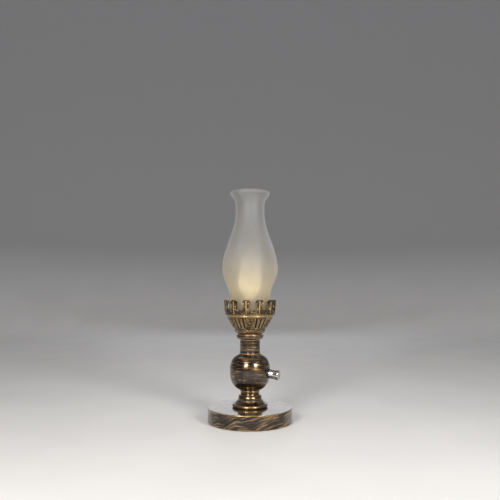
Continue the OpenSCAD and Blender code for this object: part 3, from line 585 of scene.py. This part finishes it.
def ball_outline(inset, steps=44):
    """The side of a squared ball, from its lower flat end to its upper one."""
    half = (ball_top - ball_bottom) / 2 - inset
    across, tall = ball_r - inset, half + 3
    points = []
    for i in range(steps + 1):
        z = -half * math.cos(math.pi * i / steps)
        points.append((across * (1 - (abs(z) / tall) ** 2.5) ** 0.4, ball_mid + z))
    return points


def build_ball_shell():
    bushing_way, inside_ball = 4.15, 22
    outline = [(BALL_HOLE, ball_bottom)] + ball_outline(0) + [(BALL_HOLE, ball_top)]
    outline += [(BALL_HOLE, ball_top - SHEET)] + ball_outline(SHEET)[::-1]
    outline += [(BALL_HOLE, ball_bottom + SHEET)]
    mesh = turned_mesh("ball_shell_form", outline, steps=240)
    hole = facing(dial_centre + dial_axis * inside_ball * MM, dial_axis)
    add_piece(bored(mesh, hole, bushing_way, 14), "lamp", "ball_shell", "bronze_lacquer")


def build_neck_cup():
    r, high = neck_r, top("neck_cup")
    outline = [(ROD_HOLE, ball_top + SHEET), (ROD_HOLE, ball_top), (r + 0.7, ball_top)]
    outline += arc((r + 2.4, ball_top + 2.6), 2.4, 225, 180, 8)
    outline += [(r, high), (r - SHEET, high), (r - SHEET, ball_top + SHEET)]
    place_turned("neck_cup", "bronze_lacquer", outline)


def build_collar_ring():
    r, low = collar_r, top("neck_cup")
    swell = collar_top - low - 3
    outline = [(ROD_HOLE, collar_top), (ROD_HOLE, low - 2.5), (neck_r - SHEET - 0.05, low - 2.5),
               (neck_r - SHEET - 0.05, low), (neck_r + 0.4, low)]
    outline += arc((r - swell, low + swell + 0.5), swell, -80, -4, 14)
    outline += arc((r - 0.9, collar_top - 0.9), 0.9, 0, 85, 8)
    place_turned("collar_ring", "bronze_lacquer", outline, pitch=0.8)


# ---- Gallery ----

def flute_place(r, z):
    """How far up the fluted band a point lies, 0 to 1, and how far off its surface, in mm."""
    along = Vector((flute_top_r - flute_bottom_r, flute_top - flute_bottom))
    point = Vector((r - flute_bottom_r, z - flute_bottom))
    up = point.dot(along) / along.length
    off = point.cross(along) / along.length
    return up / along.length, off


def cup_relief(angle, r, z):
    """Six rosettes with three sunk flutes between each pair, on the outside of the cup."""
    share, off = flute_place(r, z)
    if not -0.02 < share < 1.02 or abs(off) > 0.4:
        return 0.0, 0.0
    tall = math.hypot(flute_top_r - flute_bottom_r, flute_top - flute_bottom)
    pitch = 2 * math.pi / ROSETTES
    turn = (angle + math.pi / 2 + pitch / 2) % pitch - pitch / 2
    across, up = turn * r, (share - 0.5) * tall
    flower = math.hypot(across, up)
    if flower < 6.6:
        return rosette(flower, math.atan2(up, across))
    slot_pitch = pitch / (SLOTS_BETWEEN + 2)
    nearest = 1.5 if abs(turn) < 2 * slot_pitch else 2.5
    beside = abs(abs(turn) - nearest * slot_pitch) * r
    cut = (1 - smooth(beside, 0.7, 1.5)) * (1 - smooth(abs(up), tall / 2 - 2.6, tall / 2 - 1.4))
    ridge = smooth(beside, 1.3, 1.9) * (1 - smooth(beside, 2.2, 3.0))
    ridge *= 1 - smooth(abs(up), tall / 2 - 2.4, tall / 2 - 1.0)
    return 0.35 * ridge - 1.1 * cut, 0.5 * ridge - 0.9 * cut


def rosette(distance, turn):
    """A round medallion: a rim, eight petals and a raised eye."""
    rim = 1 - smooth(abs(distance - 5.7), 0.2, 0.8)
    petal = math.cos(8 * turn) * 0.5 + 0.5
    leaf = petal * math.sin(math.pi * min(1.0, max(0.0, (distance - 1.4) / 3.9)))
    eye = 1 - smooth(distance, 0.9, 1.7)
    height = 0.8 * rim + 0.75 * leaf + 1.1 * eye
    return height - 0.1, height * 0.75 - 0.35


def build_gallery_cup():
    low = collar_top
    bowl_w = flute_bottom_r - 0.9 - cup_foot_r
    bowl_h = flute_bottom - low - 2.4
    outline = [(ROD_HOLE, low + CAST), (ROD_HOLE, low), (cup_foot_r, low), (cup_foot_r, low + 1.2)]
    for i in range(13):
        turn = math.pi / 2 * i / 12
        outline.append((cup_foot_r + 0.3 + bowl_w * math.sin(turn),
                        low + 1.4 + bowl_h * (1 - math.cos(turn))))
    outline += [(flute_bottom_r - 0.6, flute_bottom - 0.7), (flute_bottom_r, flute_bottom),
                (flute_top_r, flute_top)]
    outline += arc((cup_r - 1.1, cup_top - 1.1), 1.1, -60, 90, 12)
    outline += [(flute_top_r - CAST, cup_top), (flute_top_r - CAST, flute_top),
                (flute_bottom_r - CAST, flute_bottom), (cup_foot_r + 1, low + 4.6),
                (cup_foot_r - 1.5, low + CAST)]
    place_turned("gallery_cup", "antique_brass", outline, steps=480, relief=cup_relief, pitch=0.6)


def crown_wall_r(z):
    """Outer radius of the crown's leaning wall."""
    low = cup_top + 2
    share = min(1.0, max(0.0, (z - low) / (crown_top - low)))
    return crown_foot_r + (crown_top_r - crown_foot_r) * share


def build_crown_seat():
    """The ring the chimney stands on, with the low lip that keeps it in place."""
    seat = cup_top + 2.2
    lip = FITTER + 0.6
    inner = lip - 5
    spigot = flute_top_r - CAST - 0.2
    outline = [(inner, seat), (inner, cup_top), (spigot - 1.2, cup_top), (spigot - 1.2, flute_top + 0.4),
               (spigot, flute_top + 0.4), (spigot, cup_top), (crown_foot_r - 2, cup_top)]
    outline += arc((crown_foot_r - 1.2, cup_top + 1.2), 1.2, -80, 0, 8)
    outline += [(crown_foot_r, cup_top + 2), (crown_foot_r - CROWN_WALL, seat),
                (lip + 1.3, seat), (lip + 1.3, seat + 2.2), (lip, seat + 2.2), (lip, seat)]
    return turned_mesh("crown_seat", outline, pitch=0.8)


GAP_Z = 14.3  # middle of the round gaps above the cup
GAP_R = 6.3
MOUTH = 3.35  # half the opening between two prongs' ears
EAR_Z = 3.2  # ears below the crown's top
TIP = 1.5  # half width of a prong's tip


def gap_half_width(z):
    """Half of the gap between two prongs at a height."""
    centre = cup_top + GAP_Z
    ear = crown_top - EAR_Z
    if z <= centre - GAP_R:
        return 0.0
    round_gap = math.sqrt(max(0.0, GAP_R ** 2 - (z - centre) ** 2))
    if z < centre:
        return round_gap
    pitch_half = math.pi / PRONGS * crown_wall_r(z)
    if z < ear:
        return max(MOUTH, round_gap)
    share = min(1.0, (z - ear) / (crown_top - ear))
    spread = (1 - math.sqrt(1 - share ** 1.6) * 0.9) ** 1.1 * min(1, share * 6)
    return MOUTH + (pitch_half - TIP - MOUTH) * spread


def prong_relief(across, half, z):
    """Height and wear of the casting's outside, from the prong's middle outwards."""
    centre = cup_top + GAP_Z
    rib = 1 - smooth(abs(across), 0.7, 1.5)
    rib *= smooth(z, cup_top + 2.2, cup_top + 3.4) * (1 - smooth(z, crown_top - 2.2, crown_top - 0.8))
    edge = half - abs(across)
    hoop = math.hypot(math.pi / PRONGS * crown_wall_r(z) - abs(across), z - centre) - GAP_R
    swag = 1 - smooth(abs(hoop - 1.1), 0.25, 0.75)
    swag *= 1 - smooth(z, centre + 2.5, centre + 4.5)
    second = (1 - smooth(abs(hoop - 2.9), 0.15, 0.6)) * (1 - smooth(z, centre - 1.5, centre + 0.5))
    head = smooth(z, crown_top - 5.4, crown_top - 4.2) * (1 - smooth(edge, 0.5, 1.3)) * 0.7
    height = max(0.85 * rib, 0.55 * swag, 0.45 * second, 0.45 * head)
    return height, 1.1 * height - 0.22


def build_gallery_crown():
    """Twelve prongs with round gaps, standing on the seat ring."""
    columns = 26
    low = cup_top + 1.9
    centre = cup_top + GAP_Z
    heights = [low + (centre - GAP_R - low) * i / 10 for i in range(10)]
    heights += [centre - GAP_R * math.cos(math.pi / 2 * i / 14) for i in range(14)]
    ear = crown_top - EAR_Z
    heights += [centre + (ear - centre) * i / 9 for i in range(9)]
    heights += [ear + (crown_top - ear) * math.sin(math.pi / 2 * i / 9) for i in range(10)]
    vertices, worn, faces = [], [], []

    def add_sheet(prong, inner):
        start = len(vertices)
        middle = FIRST_PRONG + prong * 2 * math.pi / PRONGS
        for z in heights:
            outer_r = crown_wall_r(z)
            half = math.pi / PRONGS * outer_r - gap_half_width(z)
            for j in range(columns + 1):
                across = half * math.sin(math.pi / 2 * (2 * j / columns - 1))
                height, wear = prong_relief(across, half, z)
                r = outer_r - CROWN_WALL if inner else outer_r - 0.35 + height
                angle = middle + across / outer_r
                vertices.append((r * math.cos(angle), r * math.sin(angle), z))
                worn.append(0.0 if inner else wear)
        return start

    row = columns + 1
    rows = len(heights)
    for prong in range(PRONGS):
        outside = add_sheet(prong, False)
        inside = add_sheet(prong, True)
        for i in range(rows - 1):
            for j in range(columns):
                a, b = i * row + j, (i + 1) * row + j
                faces.append((outside + a, outside + a + 1, outside + b + 1, outside + b))
                faces.append((inside + a, inside + b, inside + b + 1, inside + a + 1))
            if heights[i] >= centre - GAP_R - 0.001:
                for j, flip in ((0, False), (columns, True)):
                    a, b = i * row + j, (i + 1) * row + j
                    wall = (outside + a, outside + b, inside + b, inside + a)
                    faces.append(wall[::-1] if flip else wall)
        for j in range(columns):
            for i, flip in ((0, True), (rows - 1, False)):
                a = i * row + j
                cap = (outside + a, outside + a + 1, inside + a + 1, inside + a)
                faces.append(cap[::-1] if flip else cap)
    mesh = made_mesh("gallery_crown_form", vertices, faces, worn)
    work = bmesh.new()
    work.from_mesh(mesh)
    work.from_mesh(build_crown_seat())
    bmesh.ops.recalc_face_normals(work, faces=work.faces)
    work.to_mesh(mesh)
    work.free()
    # The crown takes the darker copy of the brass: painted shade
    add_piece(mesh, "lamp", "gallery_crown", "antique_brass", crown_brass_painted_shade)


# ---- Chimney ----

def chimney_outline():
    """Straight fitter, bulge, throat and flared rim, up the outside and down the inside."""
    tall = chimney_high - chimney_low
    bulge, throat, rim = reach("chimney"), 21.9, 30.2
    bulge_z, throat_z, flare_z, lip = 67, 155, 163, 4.6
    flare_end = tall - lip
    lip_in = rim - 1
    rise, spread = flare_end - flare_z, lip_in - throat
    flare = (rise ** 2 + spread ** 2) / (2 * spread)
    flare_turn = math.asin(rise / flare)
    outside = [(FITTER, 0.0), (FITTER, 13.0), (FITTER, 24.0)]
    outside += [(FITTER + (bulge - FITTER) * ease(i / 24), 26 + (bulge_z - 26) * i / 24)
                for i in range(25)]
    outside += [(bulge + (throat - bulge) * ease(i / 40), bulge_z + (throat_z - bulge_z) * i / 40)
                for i in range(1, 41)]
    outside += [(throat + flare * (1 - math.cos(flare_turn * i / 14)),
                 flare_z + flare * math.sin(flare_turn * i / 14)) for i in range(15)]
    outside += [(lip_in + (rim - lip_in) * math.sin(math.pi / 2 * i / 8), flare_end + (lip - 0.8) * i / 8)
                for i in range(1, 9)]
    edge = arc((rim - GLASS / 2, tall - 0.8), GLASS / 2, 20, 160, 7)
    edge = [(r, tall - 0.8 + (z - tall + 0.8) * 0.8 / (GLASS / 2)) for r, z in edge]
    inside = [(r - GLASS, z) for r, z in outside[::-1]]
    foot = arc((FITTER - GLASS / 2, GLASS / 2), GLASS / 2, 210, 330, 6)
    outline = foot + outside[1:] + edge + inside[:-1]
    return [(r, z + chimney_low) for r, z in outline]


def build_chimney():
    mesh = turned_mesh("chimney_form", chimney_outline(), pitch=3.0)
    add_piece(mesh, "chimney", "chimney", "frosted_glass")


# ---- Lampholder, bulb and knob ----

def build_holder_barrel():
    """The lampholder's outer barrel, ribbed for grip."""
    low, high, r = bottom("holder_barrel"), top("holder_barrel"), reach("holder_barrel")
    throat = 9.2
    outline = [(throat, high - 2.2), (r - 1.5, high - 2.2), (r - 1.5, low), (r, low), (r, high - 1.2)]
    outline += arc((r - 1.2, high - 1.2), 1.2, 0, 90, 5) + [(throat, high)]

    def ribs(angle, r_here, z):
        if r_here < r - 0.01 or not low + 2 < z < high - 3:
            return 0.0, 0.0
        return -0.3 * smooth(math.cos(36 * angle), 0.1, 0.9), 0.0

    place_turned("holder_barrel", "black_plastic", outline, steps=360, relief=ribs)


def build_bulb_glass():
    """A candle-shaped bulb: a long neck, a full waist and a rounded point."""
    low, high, wide = bottom("bulb_glass"), top("bulb_glass"), reach("bulb_glass")
    neck, wall = 7.8, 0.7
    waist = low + 25.8
    outside = [(neck - 0.1, low)]
    outside += [(neck + (wide - neck) * ease(i / 20), low + 1.8 + (waist - low - 1.8) * i / 20)
                for i in range(21)]
    for i in range(1, 30):
        turn = math.pi / 2 * i / 30
        share = math.sin(turn)
        outside.append((wide * (1 - share ** 2.1) ** 0.72, waist + (high - waist) * share))
    inside = [(max(0.05, r - wall), min(z, high - 1.6)) for r, z in outside[:-1]]
    outline = [(0, high - 1.5)] + inside[::-1] + outside + [(0, high)]
    mesh = turned_mesh("bulb_glass_form", outline, steps=96)
    add_piece(mesh, "bulb", "bulb_glass", "bulb_opal")


def build_dimmer_knob():
    """A slim tulip-shaped knob with a shallow dished tip, hollow at its root for the nut."""
    start, end, tip = dial_span("dimmer_knob")
    length, root, waist = end - start, tip - 0.4, tip - 0.7
    well = dial_span("dimmer_nut")[2] + 0.3
    well_end = dial_span("dimmer_bushing")[1] + 0.5 - start
    shaft = dial_span("dimmer_shaft")[2] + 0.05
    outline = [(0, length - 2.2), (shaft, length - 2.2), (shaft, well_end), (well, well_end), (well, 0.0),
               (root - 0.3, 0.0), (root, 0.3)]
    for i in range(1, 21):
        share = i / 20
        outline.append((root - (root - waist) * math.sin(math.pi * share)
                        + (tip - root) * share ** 2.5, 0.3 + (length - 2.4) * share))
    outline += arc((tip - 1.1, length - 1.1), 1.1, 20, 90, 8)
    outline += [(tip - 2.0, length - 0.05), (tip - 2.6, length - 0.35), (0, length - 0.5)]
    root_at = dial_centre + dial_axis * start * MM
    place = facing(root_at, dial_axis)
    mesh = turned_mesh("dimmer_knob_form", outline, steps=120, place=place, pitch=0.7)
    screw_low, screw_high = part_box("knob_screw")
    screw = (screw_low + screw_high) / 2
    on_axis = root_at + dial_axis * (screw - root_at).dot(dial_axis)
    outward = (screw - on_axis).normalized()
    screw_way = facing(on_axis + outward * 1.5 * MM, outward)
    add_piece(bored(mesh, screw_way, 1.3, 8), "dial", "dimmer_knob", "chrome")


def dial_span(node):
    """Where a node starts and ends along the dimmer's axis, and its reach around it, in mm."""
    points = [vertex.co - dial_centre for vertex in frame["nodes"][node].data.vertices]
    along = [point.dot(dial_axis) / MM for point in points]
    around = max(point.cross(dial_axis).length / MM for point in points)
    return min(along), max(along), around


# ---- Pieces that keep their CAD shape ----

def smooth_by_angle():
    """A modifier group that shades smooth across edges of less than 30 degrees."""
    group = bpy.data.node_groups.new("smooth_by_angle", "GeometryNodeTree")
    group.interface.new_socket("Geometry", in_out="INPUT", socket_type="NodeSocketGeometry")
    group.interface.new_socket("Geometry", in_out="OUTPUT", socket_type="NodeSocketGeometry")
    source = group.nodes.new("NodeGroupInput")
    result = group.nodes.new("NodeGroupOutput")
    angle = group.nodes.new("GeometryNodeInputMeshEdgeAngle")
    gentle = group.nodes.new("FunctionNodeCompare")
    gentle.data_type = "FLOAT"
    gentle.operation = "LESS_THAN"
    gentle.inputs[1].default_value = math.radians(30)
    faces = group.nodes.new("GeometryNodeSetShadeSmooth")
    faces.domain = "FACE"
    edges = group.nodes.new("GeometryNodeSetShadeSmooth")
    edges.domain = "EDGE"
    sharp = group.nodes.new("FunctionNodeBooleanMath")
    sharp.operation = "NOT"
    link = group.links.new
    link(source.outputs[0], faces.inputs["Geometry"])
    link(faces.outputs[0], edges.inputs["Geometry"])
    link(angle.outputs["Unsigned Angle"], gentle.inputs[0])
    link(gentle.outputs[0], sharp.inputs[0])
    link(sharp.outputs[0], edges.inputs["Selection"])
    edges.inputs["Shade Smooth"].default_value = False
    link(edges.outputs[0], result.inputs[0])
    return group


def finish_cad_nodes():
    """Gives each CAD node the finish of its slot, and smooth shading on its curved faces."""
    group = smooth_by_angle()
    for part in frame["record"]["subparts"]:
        node = frame["nodes"][part["node"]]
        node.data.materials.clear()
        node.data.materials.append(finishes[part["material_slot"]])
        shading = node.modifiers.new("shading", "NODES")
        shading.node_group = group


# ---- Studio ----

def pale_surface():
    look = Finish("studio_floor")
    cloud = look.noise(180, detail=2)
    fine = look.noise(1.5, detail=2)
    floor = look.mix(look.level(cloud, 0.3, 0.7), colour(232, 231, 229), colour(238, 237, 235))
    base = look.mix(look.level(look.height(), 5, 500), floor, colour(172, 172, 174))
    return look.done(look.principled({
        "Base Color": base, "Roughness": 0.55, "Normal": look.bump(fine, 0.02, 0.3)}))


def build_studio():
    """A round pale floor that curves up far behind the lamp, and a soft light all round."""
    sweep = [(0, 0), (1800, 0)] + arc((1800, 700), 700, -90, 0, 12) + [(2500, 2700)]
    mesh = turned_mesh("studio_sweep", sweep, steps=96, pitch=150)
    mesh.shade_smooth()
    mesh.materials.append(pale_surface())
    floor = bpy.data.objects.new("studio_sweep", mesh)
    bpy.context.scene.collection.objects.link(floor)
    world = bpy.data.worlds.new("studio_light")
    world.use_nodes = True
    world.node_tree.nodes["Background"].inputs["Color"].default_value = (0.98, 0.98, 1.0, 1.0)
    world.node_tree.nodes["Background"].inputs["Strength"].default_value = 0.46
    bpy.context.scene.world = world
    bpy.context.scene.view_settings.view_transform = "Standard"


def add_softbox(name, azimuth, elevation, distance, size, power, tint, through_glass=True):
    """A rectangular light that faces the lamp; azimuth 0 is the camera's side, to the right is plus.

    No view shows the light itself, and through_glass says whether it shines through the chimney.
    """
    data = bpy.data.lights.new(name, "AREA")
    data.shape = "RECTANGLE"
    data.size, data.size_y = size
    data.energy = power
    data.color = tint
    light = bpy.data.objects.new(name, data)
    light.visible_camera = False
    light.visible_transmission = through_glass
    bpy.context.scene.collection.objects.link(light)
    turn, rise = math.radians(azimuth), math.radians(elevation)
    target = Vector((0, 0, 0.12))
    back = Vector((math.sin(turn) * math.cos(rise), -math.cos(turn) * math.cos(rise), math.sin(rise)))
    light.location = target + back * distance
    light.rotation_mode = "QUATERNION"
    light.rotation_quaternion = back.to_track_quat("Z", "Y")


def add_camera():
    data = bpy.data.cameras.new("camera")
    data.sensor_width = 36
    data.lens = 36.41
    camera = bpy.data.objects.new("camera", data)
    bpy.context.scene.collection.objects.link(camera)
    camera.location = (0, -0.7696, 0.1796)
    camera.rotation_euler = (math.radians(90 + 5.55), 0, 0)
    bpy.context.scene.camera = camera


finish_cad_nodes()
build_felt_pad()
build_base_shell()
build_cord_bush()
build_bell_foot()
build_spacer_ring()
build_ball_shell()
build_neck_cup()
build_collar_ring()
build_gallery_cup()
build_gallery_crown()
build_chimney()
build_holder_barrel()
build_bulb_glass()
build_dimmer_knob()
build_studio()
add_softbox("softbox_left", -24, 24, 1.15, (0.34, 0.44), 9, (1.0, 0.97, 0.93))
add_softbox("softbox_right", 34, 22, 1.15, (0.34, 0.44), 8, (1.0, 0.98, 0.96))
add_softbox("softbox_back", 180, 13, 1.9, (1.5, 0.5), 2.0, (0.97, 0.97, 1.0),
            through_glass=False)
add_camera()
